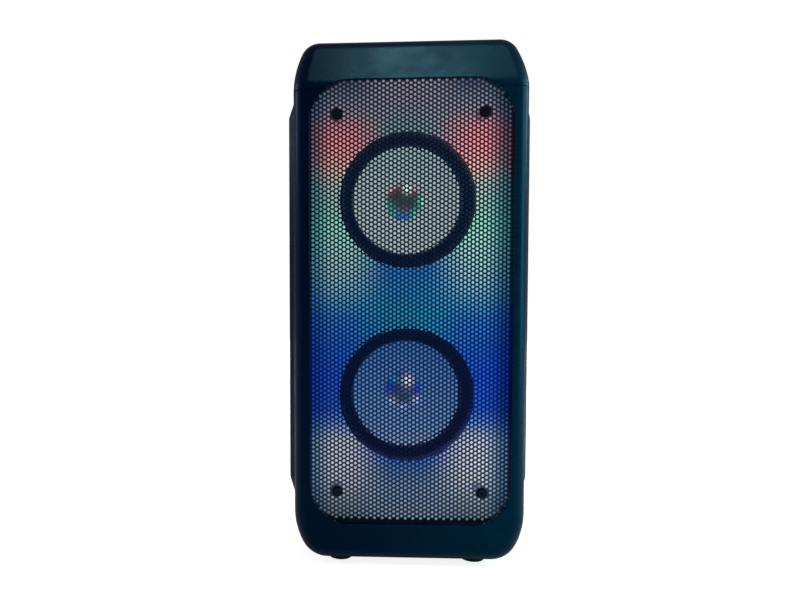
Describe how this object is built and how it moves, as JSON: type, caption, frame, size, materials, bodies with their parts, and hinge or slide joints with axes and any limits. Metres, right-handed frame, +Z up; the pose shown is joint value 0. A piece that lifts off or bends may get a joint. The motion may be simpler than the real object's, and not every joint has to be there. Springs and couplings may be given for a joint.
{
  "type": "party speaker",
  "caption": "Upright box loudspeaker with a crowned perforated front over a lit panel, stacked drivers, top buttons, rear sockets, bass port and hand grip.",
  "frame": {"origin": "middle of the footprint, on the surface that the feet stand on", "axes": "+X to the right of someone facing the grille, +Y from the grille to the back, +Z up"},
  "size_m": [0.163, 0.142, 0.357],
  "materials": {
    "housing_plastic": "fine spark-eroded grain, black with a blue cast",
    "pad_plastic": "smoother satin black",
    "foot_rubber": "matt",
    "grille_paint": "satin black powder coat",
    "screw_steel": "black oxide",
    "white_plastic": "satin white",
    "light_diffuser": "milky satin, lit from behind in bands of colour",
    "board_laminate": "solder mask",
    "green_board": "green solder mask",
    "led_lens": "clear epoxy in a white case",
    "basket_paint": "black",
    "surround_rubber": "satin butyl rubber",
    "cone_plastic": "satin, light grey",
    "cap_chrome": "mirror",
    "coil_wire": "enamelled copper",
    "spider_cloth": "resin-stiffened weave",
    "motor_steel": "zinc plated",
    "ferrite": "ground",
    "terminal_metal": "tinned brass on a fibre strip",
    "control_gloss": "gloss black",
    "button_rubber": "satin with a pale symbol",
    "switch_plastic": "satin",
    "panel_plastic": "fine grain",
    "jack_plastic": "black nylon",
    "socket_metal": "nickel plated",
    "component_case": "moulded",
    "holder_plastic": "satin",
    "cell_wrap": "shrink sleeve",
    "wire_jacket": "PVC"
  },
  "bodies": {
    "cabinet": {"front_frame": "housing_plastic", "rear_shell": "housing_plastic", "top_cap": "housing_plastic", "side_panel_left": "pad_plastic", "side_panel_right": "pad_plastic", "feet": "foot_rubber", "case_screws": "screw_steel", "grille": "grille_paint", "grille_screws": "screw_steel", "baffle": "white_plastic", "light_panel": "light_diffuser", "led_board": "board_laminate", "leds": "led_lens", "control_panel": "control_gloss", "control_board": "green_board", "button_switches": "switch_plastic", "socket_panel": "panel_plastic", "mic_jack": "jack_plastic", "aux_jack": "jack_plastic", "usb_socket": "socket_metal", "card_slot": "socket_metal", "charge_socket": "socket_metal", "switch_housing": "switch_plastic", "port_tube": "panel_plastic", "main_board": "green_board", "board_components": "component_case", "battery_holder": "holder_plastic", "battery_cells": "cell_wrap", "wire_harness": "wire_jacket", "upper_basket": "basket_paint", "upper_surround": "surround_rubber", "upper_spider": "spider_cloth", "upper_top_plate": "motor_steel", "upper_magnet": "ferrite", "upper_yoke": "motor_steel", "upper_driver_screws": "screw_steel", "upper_terminals": "terminal_metal", "lower_basket": "basket_paint", "lower_surround": "surround_rubber", "lower_spider": "spider_cloth", "lower_top_plate": "motor_steel", "lower_magnet": "ferrite", "lower_yoke": "motor_steel", "lower_driver_screws": "screw_steel", "lower_terminals": "terminal_metal"},
    "upper_diaphragm": {"upper_cone": "cone_plastic", "upper_dust_cap": "cap_chrome", "upper_voice_coil": "coil_wire"},
    "lower_diaphragm": {"lower_cone": "cone_plastic", "lower_dust_cap": "cap_chrome", "lower_voice_coil": "coil_wire"},
    "mode_key": {"mode_button": "button_rubber"},
    "previous_key": {"previous_button": "button_rubber"},
    "play_key": {"play_button": "button_rubber"},
    "next_key": {"next_button": "button_rubber"},
    "light_key": {"light_button": "button_rubber"},
    "mic_key": {"mic_button": "button_rubber"},
    "switch_nib": {"power_slider": "switch_plastic"}
  },
  "joints": [
    {"name": "upper_stroke", "type": "slide", "parent": "cabinet", "child": "upper_diaphragm", "axis": [0, 1, 0], "range_m": [-0.0025, 0.0025], "stiffness_N_per_m": 1600, "deforming": ["upper_surround", "upper_spider"]},
    {"name": "lower_stroke", "type": "slide", "parent": "cabinet", "child": "lower_diaphragm", "axis": [0, 1, 0], "range_m": [-0.0025, 0.0025], "stiffness_N_per_m": 1600, "deforming": ["lower_surround", "lower_spider"]},
    {"name": "mode_press", "type": "slide", "parent": "cabinet", "child": "mode_key", "axis": [0, 0, -1], "range_m": [0, 0.0008], "stiffness_N_per_m": 300, "springref_m": -0.0006},
    {"name": "previous_press", "type": "slide", "parent": "cabinet", "child": "previous_key", "axis": [0, 0, -1], "range_m": [0, 0.0008], "stiffness_N_per_m": 300, "springref_m": -0.0006},
    {"name": "play_press", "type": "slide", "parent": "cabinet", "child": "play_key", "axis": [0, 0, -1], "range_m": [0, 0.0008], "stiffness_N_per_m": 300, "springref_m": -0.0006},
    {"name": "next_press", "type": "slide", "parent": "cabinet", "child": "next_key", "axis": [0, 0, -1], "range_m": [0, 0.0008], "stiffness_N_per_m": 300, "springref_m": -0.0006},
    {"name": "light_press", "type": "slide", "parent": "cabinet", "child": "light_key", "axis": [0, 0, -1], "range_m": [0, 0.0008], "stiffness_N_per_m": 300, "springref_m": -0.0006},
    {"name": "mic_press", "type": "slide", "parent": "cabinet", "child": "mic_key", "axis": [0, 0, -1], "range_m": [0, 0.0008], "stiffness_N_per_m": 300, "springref_m": -0.0006},
    {"name": "power_slide", "type": "slide", "parent": "cabinet", "child": "switch_nib", "axis": [1, 0, 0], "range_m": [0, 0.003]}
  ]
}
